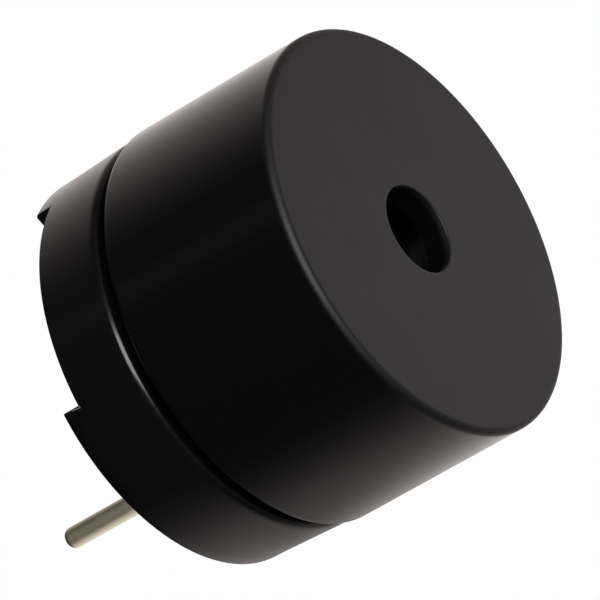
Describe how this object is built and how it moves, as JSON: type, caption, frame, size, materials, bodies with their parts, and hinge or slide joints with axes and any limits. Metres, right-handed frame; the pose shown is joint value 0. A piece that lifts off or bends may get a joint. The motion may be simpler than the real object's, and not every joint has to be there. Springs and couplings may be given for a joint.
{
  "type": "magnetic buzzer",
  "caption": "Round black through-hole magnetic buzzer: a moulded case with a sound hole over a notched base, with solder pins and a coil, magnet and diaphragm inside.",
  "frame": {"origin": "on the axis, halfway between the pins, at the plane that the feet stand on", "axes": "+Z along the axis towards the sound hole, +X from the axis towards the positive pin"},
  "size_m": [0.012, 0.012, 0.0128],
  "materials": {
    "case_plastic": "moulded black, polished wall and finely eroded top",
    "base_plastic": "moulded black, satin to gloss",
    "epoxy": "poured black epoxy",
    "board_laminate": "paper laminate",
    "tinned_pin": "tin plated",
    "solder": "solidified solder",
    "chip_body": "moulded",
    "tinned_lead": "tin plated",
    "resistor_body": "glass coated",
    "plated_steel": "zinc plated",
    "enamelled_copper": "enamelled",
    "ferrite": "sintered, ground faces",
    "spring_steel": "rolled",
    "soft_iron": "stamped"
  },
  "bodies": {
    "root": {"case": "case_plastic", "base": "base_plastic", "potting": "epoxy", "circuit_board": "board_laminate", "pin_positive": "tinned_pin", "pin_negative": "tinned_pin", "solder_joints": "solder", "transistor": "chip_body", "transistor_leads": "tinned_lead", "resistor": "resistor_body", "resistor_terminals": "tinned_lead", "yoke_plate": "plated_steel", "pole_core": "plated_steel", "coil": "enamelled_copper", "coil_leads": "enamelled_copper", "ring_magnet": "ferrite", "diaphragm": "spring_steel", "armature_disc": "soft_iron"}
  },
  "joints": []
}
